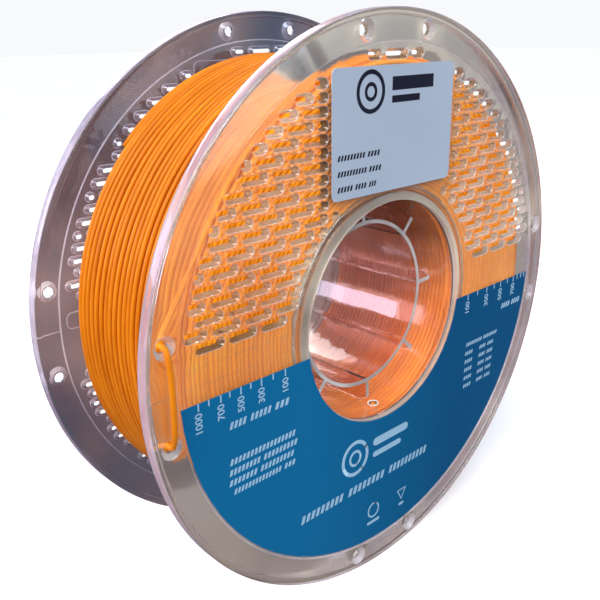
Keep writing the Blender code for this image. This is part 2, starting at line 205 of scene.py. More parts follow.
def stadium(x, z, length, height, steps=6):
    """A long outline with half-round ends."""
    r = height / 2
    half = max(length / 2 - r, 0.0)
    points = []
    for k in range(steps + 1):
        t = -math.pi / 2 + math.pi * k / steps
        points.append((x + half + r * math.cos(t), z + r * math.sin(t)))
    for k in range(steps + 1):
        t = math.pi / 2 + math.pi * k / steps
        points.append((x - half + r * math.cos(t), z + r * math.sin(t)))
    return points


def sheet_face(shape, y, outlines, outside, inside):
    """Triangles of a flat face at height y between outlines; one stays if it's inside and not outside."""
    coords = []
    edges = []
    for outline in outlines:
        first = len(coords)
        coords += [Vector(point) for point in outline]
        edges += [(first + k, first + (k + 1) % len(outline)) for k in range(len(outline))]
    points, _, faces, _, _, _ = delaunay_2d_cdt(coords, edges, [], 0, 1e-8)
    made = [shape.verts.new((p.x, y, p.y)) for p in points]
    for face in faces:
        middle = sum((points[k] for k in face), Vector((0, 0))) / len(face)
        if inside(middle) and not outside(middle):
            shape.faces.new([made[k] for k in face])


# ---------------------------------------------------------------- the flanges


def row_slots(z, shift, reach_in):
    """Slots of one row as (x, z, length, height), clipped to the field and to the closed parts."""
    height = SLOT_MOUTH[1]
    outer_limit = math.sqrt(max(FIELD_RADIUS**2 - (abs(z) + height / 2) ** 2, 0.0))
    near = max(abs(z) - height / 2, 0.0)
    closed = math.sqrt(max(HUB_FIELD_RADIUS**2 - near**2, 0.0))
    if reach_in and z + height / 2 > PAD_BOTTOM and z < TOP_ROW_Z:
        closed = max(closed, PAD_HALF)
    found = []
    count = int(FIELD_RADIUS / SLOT_PITCH_X) + 2
    for index in range(-count, count + 1):
        middle = index * SLOT_PITCH_X + shift
        side = 1 if middle >= 0 else -1
        inner = max(abs(middle) - SLOT_MOUTH[0] / 2, closed)
        outer = min(abs(middle) + SLOT_MOUTH[0] / 2, outer_limit)
        if middle == 0 and closed == 0:
            inner = -SLOT_MOUTH[0] / 2
        if outer - inner >= SHORTEST_SLOT:
            found.append((side * (inner + outer) / 2, z, outer - inner, height))
    return found


def all_slots():
    """The field above the window, the short row over the sticker, and the field below the window."""
    found = []
    row = 0
    z = FIRST_ROW
    while z < TOP_ROW_Z - SLOT_PITCH_Z:
        found += row_slots(z, SLOT_PITCH_X / 2 if row % 2 == 0 else 0.0, True)
        row += 1
        z += SLOT_PITCH_Z
    found += [(x, TOP_ROW_Z, length, SLOT_MOUTH[1]) for x, length in TOP_SLOTS]
    row = 0
    z = LOWER_ROW
    while z > -FIELD_RADIUS + SLOT_PITCH_Z / 2:
        found += row_slots(z, SLOT_PITCH_X / 2 if row % 2 == 0 else 0.0, False)
        row += 1
        z -= SLOT_PITCH_Z
    return found


def tie_places():
    reach = math.sqrt(TIE_RADIUS**2 - TIE_OFFSET**2)
    places = []
    for sign in (-1, 1):
        for offset in (-TIE_OFFSET, TIE_OFFSET):
            places += [(sign * reach, offset), (offset, sign * reach)]
    return places


def in_slots(slots, grow):
    """A test for points inside any of the slots."""
    cells = {}
    for x, z, length, height in slots:
        reached = {round((x + part * length / 2) / SLOT_PITCH_X) for part in (-1, 0, 1)}
        for cell in reached:
            cells.setdefault((cell, round(z / SLOT_PITCH_Z)), []).append((x, z, length, height))

    def test(p):
        cx, cz = round(p.x / SLOT_PITCH_X), round(p.y / SLOT_PITCH_Z)
        for i in (cx - 1, cx, cx + 1):
            for j in (cz - 1, cz, cz + 1):
                for x, z, length, height in cells.get((i, j), ()):
                    r = height / 2 + grow
                    half = max(length / 2 - height / 2, 0.0)
                    dx = max(abs(p.x - x) - half, 0.0)
                    if dx * dx + (p.y - z) ** 2 < r * r * 0.98:
                        return True
        return False

    return test


def loft(shape, loops):
    """Joins outlines of equal count, each ((x, z) points, y), with quads."""
    rows = [[shape.verts.new((x, y, z)) for x, z in outline] for outline, y in loops]
    for a, b in zip(rows, rows[1:]):
        for k in range(len(a)):
            n = (k + 1) % len(a)
            shape.faces.new((a[k], a[n], b[n], b[k]))


def flange_shape():
    """One flange as it faces -Y: plate with funnel slots, rim with countersunk tie holes, collar."""
    shape = bmesh.new()
    outer = -PLATE_OUTER
    inner = -PLATE_INNER
    face = -HALF_WIDTH
    slots = all_slots()
    mouths = [(x, z, l + 2 * MOUTH_ROUNDING, h + 2 * MOUTH_ROUNDING) for x, z, l, h in slots]
    slits = []
    for x, z, l, h in slots:
        cut = SLOT_MOUTH[0] - SLOT_SLIT[0]
        slits.append((x, z, max(l - cut, SLOT_SLIT[1] * 1.6), SLOT_SLIT[1]))
    ties = tie_places()
    fillet = 0.25 * MM
    step = RECESS_RADIUS
    hole_r = DRUM_BORE

    def between(low, high):
        return lambda p: low * 0.9999 < p.length < high

    def in_ties(radius):
        return lambda p: any((p.x - x) ** 2 + (p.y - z) ** 2 < radius * radius * 0.98 for x, z in ties)

    mouth_outlines = [stadium(*m) for m in mouths]
    in_mouth = in_slots(mouths, 0.0)
    sheet_face(
        shape, outer,
        [circle(step - fillet), circle(hole_r + fillet)] + mouth_outlines,
        in_mouth, between(hole_r + fillet, step - fillet),
    )
    in_slit = in_slots(slits, 0.0)
    tied = in_ties(TIE_HOLE)
    tie_outlines = [circle(TIE_HOLE, 24, x, z) for x, z in ties]
    slit_outlines = [stadium(*s) for s in slits]
    sheet_face(
        shape, inner,
        [circle(BEAD_RADIUS - fillet), circle(COLLAR_RADIUS + fillet)] + slit_outlines + tie_outlines,
        lambda p: in_slit(p) or tied(p), between(COLLAR_RADIUS + fillet, BEAD_RADIUS - fillet),
    )
    sink_outlines = [circle(TIE_SINK, 24, x, z) for x, z in ties]
    sheet_face(
        shape, face,
        [circle(FLANGE_RADIUS - RIM_ROUNDING), circle(step + fillet)] + sink_outlines,
        in_ties(TIE_SINK), between(step + fillet, FLANGE_RADIUS - RIM_ROUNDING),
    )
    for (x, z, l, h), (_, _, sl, sh) in zip(slots, slits):
        g = MOUTH_ROUNDING
        loft(
            shape,
            [
                (stadium(x, z, l + 2 * g, h + 2 * g), outer),
                (stadium(x, z, l + 0.6 * g, h + 0.6 * g), outer + 0.3 * g),
                (stadium(x, z, l, h), outer + g),
                (stadium(x, z, (l + sl) / 2 + 0.3 * MM, (h + sh) / 2 + 0.25 * MM), (outer + inner) / 2),
                (stadium(x, z, sl, sh), inner - 0.25 * MM),
                (stadium(x, z, sl, sh), inner),
            ],
        )
    for x, z in ties:
        loft(
            shape,
            [
                (circle(TIE_SINK, 24, x, z), face),
                (circle(TIE_SINK - 0.25 * MM, 24, x, z), face + 0.15 * MM),
                (circle(TIE_HOLE + 0.2 * MM, 24, x, z), face + TIE_SINK_DEPTH),
                (circle(TIE_HOLE, 24, x, z), face + TIE_SINK_DEPTH + 0.2 * MM),
                (circle(TIE_HOLE, 24, x, z), inner),
            ],
        )
    edge = FLANGE_RADIUS
    r = RIM_ROUNDING
    low = face + RIM_THICKNESS
    rounded = []
    for k in range(5):
        t = math.pi / 2 * k / 4
        rounded.append((edge - r + r * math.sin(t), face + r - r * math.cos(t)))
    for k in range(5):
        t = math.pi / 2 * k / 4
        rounded.append((edge - r + r * math.cos(t), low - r + r * math.sin(t)))
    bead = edge - RIM_BEAD
    rounded += [
        (bead + 0.3 * MM, low), (bead + 0.08 * MM, low - 0.08 * MM), (bead, low - 0.3 * MM),
        (bead, inner + fillet), (bead - 0.08 * MM, inner + 0.08 * MM), (bead - fillet, inner),
    ]
    ring(shape, rounded, closed=False)
    step_profile = [
        (step + fillet, face), (step + 0.07 * MM, face + 0.07 * MM), (step, face + fillet),
        (step, outer - 0.12 * MM), (step - 0.07 * MM, outer - 0.04 * MM), (step - fillet, outer),
    ]
    ring(shape, step_profile, closed=False)
    collar = [
        (COLLAR_RADIUS + fillet, inner),
        (COLLAR_RADIUS + 0.07 * MM, inner + 0.07 * MM),
        (COLLAR_RADIUS, inner + fillet),
        (COLLAR_RADIUS, -COLLAR_END - fillet),
        (COLLAR_RADIUS - fillet, -COLLAR_END),
        (COLLAR_INNER + fillet, -COLLAR_END),
        (COLLAR_INNER, -COLLAR_END - fillet),
        (COLLAR_INNER, inner),
        (hole_r + fillet, inner),
        (hole_r, inner - fillet),
        (hole_r, outer + fillet),
        (hole_r + 0.07 * MM, outer + 0.07 * MM),
        (hole_r + fillet, outer),
    ]
    ring(shape, collar, closed=False)
    bmesh.ops.remove_doubles(shape, verts=shape.verts, dist=2e-7)
    bmesh.ops.recalc_face_normals(shape, faces=shape.faces)
    return shape


def mirrored(shape):
    other = shape.copy()
    for vertex in other.verts:
        vertex.co.y = -vertex.co.y
    bmesh.ops.reverse_faces(other, faces=other.faces)
    return other


# ---------------------------------------------------------------- the strand


def wound_layer(shape, radius, half, pitch, spread, seed, sides=8, steps=120, wobble=0.0):
    """One layer of the strand as a single helix with an uneven pitch."""
    noise = random.Random(seed)
    places = []
    y = -half
    while y < half:
        places.append(y)
        y += pitch * (1 + noise.uniform(-spread, spread))
    places.append(half)
    centres = []
    turns = len(places) - 1
    lifts = [noise.uniform(-wobble, wobble) for _ in range(turns + 1)]
    phase = noise.uniform(0, math.tau)
    for turn in range(turns):
        for k in range(steps):
            t = k / steps
            hold = min(max((t - 0.06) / 0.22, 0.0), 1.0)
            share = 0.35 * t + 0.65 * hold * hold * (3 - 2 * hold)
            y = places[turn] + (places[turn + 1] - places[turn]) * share
            r = radius + lifts[turn] * (1 - t) + lifts[turn + 1] * t
            a = phase + math.tau * t
            centres.append(Vector((r * math.cos(a), y, r * math.sin(a))))
    tube(shape, centres, STRAND / 2, sides)


def side_rings(shape, y, low, high, pitch, seed):
    """The ends of the layers, seen through a flange as rings round the axis."""
    noise = random.Random(seed)
    radius = low
    while radius < high:
        drift = noise.uniform(-0.25, 0.25) * MM
        sway = noise.uniform(0, 0.35) * MM
        phase = noise.uniform(0, math.tau)
        centres = []
        for k in range(120):
            t = math.tau * k / 120
            r = radius + sway * math.sin(t + phase)
            centres.append(Vector((r * math.cos(t), y + drift * math.sin(2 * t + phase), r * math.sin(t))))
        tube(shape, centres, STRAND / 2, 6, closed=True)
        radius += pitch * (1 + noise.uniform(-0.12, 0.12))


# ---------------------------------------------------------------- materials


def new_material(name):
    made = bpy.data.materials.new(name)
    made.use_nodes = True
    tree = made.node_tree
    tree.nodes.clear()
    out = tree.nodes.new("ShaderNodeOutputMaterial")
    shader = tree.nodes.new("ShaderNodeBsdfPrincipled")
    tree.links.new(shader.outputs[0], out.inputs["Surface"])
    coords = tree.nodes.new("ShaderNodeTexCoord")
    return made, tree, shader, out, coords.outputs["Object"]


def noise_node(tree, vector, scale, detail=3.0, rough=0.5, stretch=None):
    if stretch:
        mapping = tree.nodes.new("ShaderNodeMapping")
        mapping.inputs["Scale"].default_value = stretch
        tree.links.new(vector, mapping.inputs["Vector"])
        vector = mapping.outputs["Vector"]
    node = tree.nodes.new("ShaderNodeTexNoise")
    node.inputs["Scale"].default_value = scale
    node.inputs["Detail"].default_value = detail
    node.inputs["Roughness"].default_value = rough
    tree.links.new(vector, node.inputs["Vector"])
    return node.outputs["Fac"]


def ramp(tree, value, stops):
    node = tree.nodes.new("ShaderNodeValToRGB")
    elements = node.color_ramp.elements
    while len(elements) < len(stops):
        elements.new(0.5)
    for element, (place, colour) in zip(elements, stops):
        element.position = place
        element.color = (*colour, 1.0) if len(colour) == 3 else colour
    tree.links.new(value, node.inputs["Fac"])
    return node.outputs["Color"]


def grey(value):
    return (value, value, value)


def bump(tree, shader, height, strength, distance):
    node = tree.nodes.new("ShaderNodeBump")
    node.inputs["Strength"].default_value = strength
    node.inputs["Distance"].default_value = distance
    tree.links.new(height, node.inputs["Height"])
    tree.links.new(node.outputs["Normal"], shader.inputs["Normal"])
    return node


def clear_plastic(name, tints_and_painted_light, haze_and_painted_light, rough, ior=1.59, shadow=(0.92, 0.90, 0.90), waves=0.25):
    """Clear polystyrene: refracts, with a little haze, faint waviness, and lets the lamps' light through; for
    some pieces the tints and the haze carry painted highlights, painted reflections and painted shade.
    """
    made, tree, shader, out, coords = new_material(name)
    broad = noise_node(tree, coords, 18.0, 2.0)
    colour = ramp(tree, broad, [(0.3, tints_and_painted_light[0]), (0.5, tints_and_painted_light[1]), (0.7, tints_and_painted_light[2])])
    tree.links.new(colour, shader.inputs["Base Color"])
    shader.inputs["IOR"].default_value = ior
    shader.inputs["Transmission Weight"].default_value = 1.0
    smudges = noise_node(tree, coords, 60.0, 4.0)
    roughness = ramp(tree, smudges, [(0.3, grey(rough[0])), (0.7, grey(rough[1]))])
    tree.links.new(roughness, shader.inputs["Roughness"])
    bump(tree, shader, noise_node(tree, coords, 90.0, 2.0), waves, 0.0006)
    # Milky diffuse share: haze, and for the edge, rim and rear materials a painted highlight, painted
    # reflection or painted shade.
    hazy_and_painted_light_bsdf = tree.nodes.new("ShaderNodeBsdfPrincipled")
    tree.links.new(ramp(tree, broad, [(0.35, haze_and_painted_light[1]), (0.65, haze_and_painted_light[2])]), hazy_and_painted_light_bsdf.inputs["Base Color"])
    hazy_and_painted_light_bsdf.inputs["Roughness"].default_value = 0.35
    hazy_and_painted_light_mix = tree.nodes.new("ShaderNodeMixShader")
    clouds = noise_node(tree, coords, 35.0, 3.0)
    share = ramp(tree, clouds, [(0.3, grey(haze_and_painted_light[0] * 0.6)), (0.7, grey(haze_and_painted_light[0] * 1.4))])
    tree.links.new(share, hazy_and_painted_light_mix.inputs["Fac"])
    tree.links.new(shader.outputs[0], hazy_and_painted_light_mix.inputs[1])
    tree.links.new(hazy_and_painted_light_bsdf.outputs[0], hazy_and_painted_light_mix.inputs[2])
    light = tree.nodes.new("ShaderNodeLightPath")
    through = tree.nodes.new("ShaderNodeBsdfTransparent")
    through.inputs["Color"].default_value = (*shadow, 1.0)
    mix = tree.nodes.new("ShaderNodeMixShader")
    tree.links.new(light.outputs["Is Shadow Ray"], mix.inputs["Fac"])
    tree.links.new(hazy_and_painted_light_mix.outputs[0], mix.inputs[1])
    tree.links.new(through.outputs[0], mix.inputs[2])
    tree.links.new(mix.outputs[0], out.inputs["Surface"])
    return made


def orange_plastic(name, dark, mid, light, rough=0.34):
    """Glossy PLA strand: an even orange with fine streaks along the strand and small marks."""
    made, tree, shader, out, coords = new_material(name)
    streak = noise_node(tree, coords, 160.0, 3.0, 0.6, (0.25, 1.6, 0.25))
    colour = ramp(tree, streak, [(0.25, dark), (0.5, mid), (0.78, light)])
    tree.links.new(colour, shader.inputs["Base Color"])
    marks = noise_node(tree, coords, 420.0, 3.0)
    roughness = ramp(tree, marks, [(0.3, grey(rough - 0.06)), (0.7, grey(rough + 0.1))])
    tree.links.new(roughness, shader.inputs["Roughness"])
    shader.inputs["Subsurface Weight"].default_value = 0.12
    shader.inputs["Subsurface Radius"].default_value = (0.0016, 0.0006, 0.0002)
    shader.inputs["Subsurface Scale"].default_value = 1.0
    shader.inputs["Specular IOR Level"].default_value = 0.2
    bump(tree, shader, noise_node(tree, coords, 900.0, 2.0), 0.12, 0.0002)
    return made


def paper(name, low, high, rough, fibre, painted_light_left=False):
    """A matt printed sheet, patchy, or lighter towards its left side as painted light when painted_light_left
    is set.
    """
    made, tree, shader, out, coords = new_material(name)
    patch = noise_node(tree, coords, 14.0, 2.0)
    # Painted light: the sheet gets lighter towards its left side.
    if painted_light_left:
        apart = tree.nodes.new("ShaderNodeSeparateXYZ")
        tree.links.new(coords, apart.inputs[0])
        across = tree.nodes.new("ShaderNodeMapRange")
        across.inputs["From Min"].default_value = FLANGE_RADIUS
        across.inputs["From Max"].default_value = -FLANGE_RADIUS
        tree.links.new(apart.outputs["X"], across.inputs["Value"])
        patch = across.outputs["Result"]
    tree.links.new(ramp(tree, patch, [(0.3, low), (0.7, high)]), shader.inputs["Base Color"])
    grain = noise_node(tree, coords, 500.0, 4.0)
    roughness = ramp(tree, grain, [(0.3, grey(rough - 0.05)), (0.7, grey(rough + 0.06))])
    tree.links.new(roughness, shader.inputs["Roughness"])
    bump(tree, shader, noise_node(tree, coords, fibre, 2.0), 0.06, 0.00005)
    shader.inputs["Specular IOR Level"].default_value = 0.08
    return made


FRONT_CLEAR = clear_plastic(
    "front_clear", ((0.95, 0.94, 0.87), (0.99, 0.98, 0.88), (1.0, 1.0, 0.86)),
    (0.05, (0.62, 0.50, 0.32), (0.92, 0.78, 0.46)), (0.06, 0.12), waves=0.10,
)
# Frosted whitish edge materials: painted highlights on slot mouths, countersinks, the step and fine lines.
FRONT_EDGE_PAINTED_HIGHLIGHT = clear_plastic(
    "front_edge_painted_highlight", ((0.90, 0.88, 0.88), (0.96, 0.94, 0.93), (1.0, 0.98, 0.97)),
    (0.32, (0.80, 0.76, 0.76), (1.0, 0.97, 0.95)), (0.04, 0.10),
)
REAR_EDGE_PAINTED_HIGHLIGHT = clear_plastic(
    "rear_edge_painted_highlight", ((0.80, 0.80, 0.84), (0.92, 0.90, 0.93), (1.0, 0.98, 0.98)),
    (0.62, (0.84, 0.80, 0.86), (1.0, 0.96, 0.98)), (0.05, 0.12),
)
# Orange tint on the front slot walls: painted reflection of the orange strand.
FRONT_SLOT_WALL_PAINTED_REFLECTION = clear_plastic(
    "front_slot_wall_painted_reflection", ((0.96, 0.60, 0.34), (1.0, 0.74, 0.48), (1.0, 0.92, 0.84)),
    (0.16, (0.90, 0.48, 0.18), (1.0, 0.84, 0.70)), (0.03, 0.08),
)
# Grey tint on the rear slot walls: painted shade, so the rear slits look dark.
REAR_SLOT_WALL_PAINTED_SHADE = clear_plastic(
    "rear_slot_wall_painted_shade", ((0.60, 0.58, 0.62), (0.78, 0.75, 0.78), (0.92, 0.90, 0.90)),
    (0.24, (0.46, 0.42, 0.48), (0.80, 0.74, 0.78)), (0.04, 0.10),
)
# Lavender tint and haze on the rim's outer side: painted reflection.
RIM_SIDE_PAINTED_REFLECTION = clear_plastic(
    "rim_side_painted_reflection", ((0.62, 0.56, 0.74), (0.88, 0.82, 0.94), (1.0, 0.96, 1.0)),
    (0.42, (0.48, 0.38, 0.58), (0.94, 0.86, 1.0)), (0.04, 0.12), waves=0.6,
)
# Milky beige on the hub bore and collar bore: painted highlight where clear edges catch light.
HUB_FACE_PAINTED_HIGHLIGHT = clear_plastic(
    "hub_face_painted_highlight", ((0.86, 0.82, 0.78), (0.93, 0.90, 0.86), (0.98, 0.95, 0.92)),
    (0.50, (0.62, 0.56, 0.50), (0.88, 0.83, 0.76)), (0.05, 0.14),
)
# Dark blue-grey to pinkish rear flange: painted shade, with bluish and pinkish painted reflections spread by
# noise.
REAR_CLEAR_PAINTED_SHADE_AND_REFLECTION = clear_plastic(
    "rear_clear_painted_shade_and_reflection", ((0.17, 0.23, 0.33), (0.38, 0.34, 0.37), (0.76, 0.66, 0.60)),
    (0.10, (0.13, 0.14, 0.20), (0.54, 0.45, 0.46)), (0.03, 0.10), shadow=(0.8, 0.78, 0.8), waves=0.7,
)
HUB_CLEAR = clear_plastic(
    "hub_clear", ((0.90, 0.84, 0.78), (0.96, 0.91, 0.86), (0.99, 0.96, 0.93)),
    (0.04, (0.70, 0.60, 0.55), (0.92, 0.84, 0.80)), (0.03, 0.08),
)
CORE_CLEAR = clear_plastic(
    "core_clear", ((0.82, 0.52, 0.42), (0.89, 0.62, 0.52), (0.95, 0.76, 0.66)),
    (0.02, (0.70, 0.50, 0.42), (0.90, 0.70, 0.62)), (0.02, 0.05),
)
# Milky white on the core tube's ends, its rib ends and the start hole's lip: painted highlight.
CORE_EDGE_PAINTED_HIGHLIGHT = clear_plastic(
    "core_edge_painted_highlight", ((0.96, 0.92, 0.88), (0.98, 0.95, 0.93), (1.0, 0.98, 0.97)),
    (0.55, (0.92, 0.88, 0.84), (1.0, 0.97, 0.95)), (0.10, 0.25),
)
ORANGE = orange_plastic("orange_strand", (0.66, 0.165, 0.001), (0.82, 0.24, 0.003), (0.95, 0.33, 0.010))
# Darker copy of the strand's orange for the layer beneath: painted shade between the outer turns.
ORANGE_PAINTED_SHADE = orange_plastic(
    "orange_inner_painted_shade", (0.50, 0.10, 0.002), (0.66, 0.16, 0.003), (0.82, 0.24, 0.008), 0.45,
)
# Lighter copy of the strand's orange for the layer ends seen through the flanges: painted light.
ORANGE_PAINTED_LIGHT = orange_plastic("orange_side_painted_light", (0.80, 0.22, 0.002), (0.93, 0.31, 0.006), (1.0, 0.42, 0.014), 0.6)
# The white label is given the bluish grey of a white sheet in shade: painted shade.
WHITE_LABEL_PAINTED_SHADE = paper("white_label", (0.47, 0.56, 0.67), (0.54, 0.63, 0.75), 0.5, 2500.0)
# The blue label's lighter left side is painted light.
BLUE = paper("blue_label", (0.0, 0.095, 0.24), (0.004, 0.17, 0.38), 0.45, 2000.0, True)
INK_LIGHT = paper("pale_ink", (0.34, 0.58, 0.76), (0.48, 0.72, 0.90), 0.5, 2500.0)
INK_DARK = paper("dark_ink", (0.012, 0.014, 0.03), (0.03, 0.034, 0.055), 0.5, 2500.0)


# ---------------------------------------------------------------- the moulded pieces

front = flange_shape()
rear = mirrored(front)
front_flange = add_mesh("front_flange_clear", front, FRONT_CLEAR, 28)
rear_flange = add_mesh("rear_flange_clear", rear, REAR_CLEAR_PAINTED_SHADE_AND_REFLECTION, 28)


def paint_flange_light(flange, edge, wall):
    """Gives the slot mouths, countersinks, step and hub bore a painted highlight, the rim side a painted
    reflection, and the slot walls the given wall material, a painted reflection on the front flange and
    painted shade on the rear.
    """
    for made in (edge, RIM_SIDE_PAINTED_REFLECTION, HUB_FACE_PAINTED_HIGHLIGHT, wall):
        flange.data.materials.append(made)
    ties = tie_places()
    for polygon in flange.data.polygons:
        radius = math.hypot(polygon.center.x, polygon.center.z)
        y = abs(polygon.center.y)
        lean = abs(polygon.normal.y)
        if radius > FLANGE_RADIUS - 0.7 * MM:
            if lean < 0.8:
                polygon.material_index = 2
        elif radius < DRUM_BORE + 0.3 * MM or (radius < COLLAR_INNER + 0.1 * MM and y < PLATE_INNER):
            polygon.material_index = 3
        elif 0.05 < lean < 0.98:
            in_mouth = PLATE_OUTER - MOUTH_ROUNDING < y < PLATE_OUTER and radius > COLLAR_RADIUS
            in_sink = y > HALF_WIDTH - TIE_SINK_DEPTH and any(
                math.hypot(polygon.center.x - x, polygon.center.z - z) < TIE_SINK for x, z in ties
            )
            in_step = abs(radius - RECESS_RADIUS) < 0.3 * MM
            # Mouths, countersinks and step take the painted-highlight material.
            if in_mouth or in_sink or in_step:
                polygon.material_index = 1
            elif radius < RECESS_RADIUS:
                polygon.material_index = 4


paint_flange_light(front_flange, FRONT_EDGE_PAINTED_HIGHLIGHT, FRONT_SLOT_WALL_PAINTED_REFLECTION)
paint_flange_light(rear_flange, REAR_EDGE_PAINTED_HIGHLIGHT, REAR_SLOT_WALL_PAINTED_SHADE)
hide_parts("front_flange")
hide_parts("rear_flange")

START_TURN = math.radians(-86)
START_Y = -HALF_WIDTH + 9.9 * MM
START_OUT = Vector((math.cos(START_TURN), 0, math.sin(START_TURN)))


def applied(obj, cutter, operation="DIFFERENCE"):
    """Applies an exact Boolean and removes the other mesh."""
    change = obj.modifiers.new(operation.title(), "BOOLEAN")
    change.operation = operation
    change.object = cutter
    bpy.context.view_layer.update()
    data = bpy.data.meshes.new_from_object(obj.evaluated_get(bpy.context.evaluated_depsgraph_get()))
    obj.modifiers.clear()
    obj.data = data
    bpy.data.objects.remove(cutter, do_unlink=True)


def rod(radius, low, high, sides=32):
    """A round rod that points out of the drum at the strand's start."""
    shape = bmesh.new()
    bmesh.ops.create_cone(
        shape, cap_ends=True, segments=sides, radius1=radius, radius2=radius, depth=high - low,
    )
    place = START_OUT * (low + high) / 2 + Vector((0, START_Y, 0))
    shape.transform(Matrix.LocRotScale(place, START_OUT.to_track_quat("Z", "Y"), None))
    return shape


drum = bmesh.new()
soft = 0.25 * MM
ring(
    drum,
    [
        (DRUM_BORE, -DRUM_HALF + soft), (DRUM_BORE + soft, -DRUM_HALF),
        (DRUM_RADIUS - soft, -DRUM_HALF), (DRUM_RADIUS, -DRUM_HALF + soft),
        (DRUM_RADIUS, DRUM_HALF - soft), (DRUM_RADIUS - soft, DRUM_HALF),
        (DRUM_BORE + soft, DRUM_HALF), (DRUM_BORE, DRUM_HALF - soft),
    ],
)
bmesh.ops.recalc_face_normals(drum, faces=drum.faces)
hub_drum = add_mesh("hub_drum_clear", drum, HUB_CLEAR, 28)
applied(hub_drum, add_mesh("start_hole", rod(1.6 * MM, DRUM_BORE - 3 * MM, DRUM_RADIUS + 3 * MM)))
hub_drum.data.shade_smooth()
hub_drum.data.set_sharp_from_angle(angle=math.radians(28))
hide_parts("hub_drum")

core = bmesh.new()
ring(
    core,
    [
        (CORE_BORE_RADIUS, CORE_FRONT + soft), (CORE_BORE_RADIUS + soft, CORE_FRONT),
        (CORE_RADIUS - soft, CORE_FRONT), (CORE_RADIUS, CORE_FRONT + soft),
        (CORE_RADIUS, CORE_REAR - soft), (CORE_RADIUS - soft, CORE_REAR),
        (CORE_BORE_RADIUS + soft, CORE_REAR), (CORE_BORE_RADIUS, CORE_REAR - soft),
    ],
)
bmesh.ops.recalc_face_normals(core, faces=core.faces)
core_tube = add_mesh("core_tube_clear", core, CORE_CLEAR, 28)
for number in range(8):
    shape = bmesh.new()
    inner, outer, lead, half = CORE_RADIUS - 0.5 * MM, DRUM_BORE - GAP, 1.9 * MM, 0.8 * MM
    outline = [
        (inner, CORE_FRONT), (outer - lead, CORE_FRONT), (outer, CORE_FRONT + 2 * lead),
        (outer, CORE_REAR - 2 * lead), (outer - lead, CORE_REAR), (inner, CORE_REAR),
    ]
    face = shape.faces.new([shape.verts.new((r, y, -half)) for r, y in outline])
    grown = bmesh.ops.extrude_face_region(shape, geom=[face])
    moved = [item for item in grown["geom"] if isinstance(item, bmesh.types.BMVert)]
    bmesh.ops.translate(shape, verts=moved, vec=(0, 0, 2 * half))
    bmesh.ops.recalc_face_normals(shape, faces=shape.faces)
    shape.transform(Matrix.Rotation(-(math.radians(3) + math.tau * number / 8), 4, "Y"))
    applied(core_tube, add_mesh("rib", shape), "UNION")
core_tube.data.shade_smooth()
core_tube.data.set_sharp_from_angle(angle=math.radians(28))
core_tube.data.materials.clear()
core_tube.data.materials.append(CORE_CLEAR)
core_tube.data.materials.append(CORE_EDGE_PAINTED_HIGHLIGHT)
# Faces at the tube's ends take the painted-highlight material.
for polygon in core_tube.data.polygons:
    near_end = min(abs(polygon.center.y - CORE_FRONT), abs(polygon.center.y - CORE_REAR)) < 2.2 * MM
    polygon.material_index = 1 if near_end and abs(polygon.normal.y) > 0.3 else 0
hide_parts("core_tube")

# ---------------------------------------------------------------- the wound strand

solid = bmesh.new()
under = STRAND * 0.86
groove = WINDING_HALF - STRAND * 0.32
half_profile = [
    (DRUM_RADIUS + under, COLLAR_END - GAP), (COLLAR_RADIUS + under, COLLAR_END - GAP),
    (COLLAR_RADIUS + under, groove), (WINDING_RADIUS - 2 * STRAND, groove),
    (WINDING_RADIUS - 1.5 * STRAND, WINDING_HALF - 1.5 * STRAND),
]
ring(solid, [(r, -y) for r, y in half_profile] + half_profile[::-1], 96)
bmesh.ops.recalc_face_normals(solid, faces=solid.faces)
winding = add_mesh("filament_packed", solid, ORANGE, 30)
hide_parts("filament_winding")

outer_layer = bmesh.new()
edge = STRAND / 2 + 0.1 * MM
outer_radius = WINDING_RADIUS - STRAND / 2
wound_layer(outer_layer, outer_radius, WINDING_HALF - edge, 2.62 * MM, 0.2, 11, 10, 144, 0.15 * MM)
under_layer = bmesh.new()
wound_layer(under_layer, outer_radius - 1.35 * MM, WINDING_HALF - edge, 1.8 * MM, 0.04, 5, 8, 120)
first_layer = bmesh.new()
wound_layer(first_layer, DRUM_RADIUS + STRAND / 2 + 0.1 * MM, COLLAR_END - edge, 1.82 * MM, 0.03, 7, 8, 120)
strands = [
    add_mesh("filament_outer_layer", outer_layer, ORANGE, 0),
    add_mesh("filament_under_layer", under_layer, ORANGE_PAINTED_SHADE, 0),
    add_mesh("filament_first_layer", first_layer, ORANGE, 0),
]
for name, side, seed in (("filament_front_side", -1, 21), ("filament_rear_side", 1, 33)):
    shape = bmesh.new()
    low, high = COLLAR_RADIUS + STRAND * 0.6, WINDING_RADIUS - STRAND
    side_rings(shape, side * (WINDING_HALF - STRAND / 2 - 0.1 * MM), low, high, 1.62 * MM, seed)
    strands.append(add_mesh(name, shape, ORANGE_PAINTED_LIGHT, 0))

for node in ("filament_tail", "filament_start"):
    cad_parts[node].data.materials.clear()
    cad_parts[node].data.materials.append(ORANGE)

# ---------------------------------------------------------------- the labels and their print

for node, made in (("blue_label", BLUE), ("white_label", WHITE_LABEL_PAINTED_SHADE)):
    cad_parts[node].data.materials.clear()
    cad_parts[node].data.materials.append(made)

PRINT_FACE = LABEL_FACE - 0.03 * MM


def print_piece(name, material, outlines):
    """Ink as thin raised shapes on a label; each outline is a closed list of (x, z)."""
    shape = bmesh.new()
    for outline in outlines:
        front_row = [shape.verts.new((x, PRINT_FACE, z)) for x, z in outline]
        back_row = [shape.verts.new((x, LABEL_FACE, z)) for x, z in outline]
        shape.faces.new(front_row)
        for k in range(len(outline)):
            n = (k + 1) % len(outline)
            shape.faces.new((front_row[k], back_row[k], back_row[n], front_row[n]))
    return add_mesh(name, shape, material, 20)


def block(x, z, width, height):
    return [(x, z), (x + width, z), (x + width, z + height), (x, z + height)]


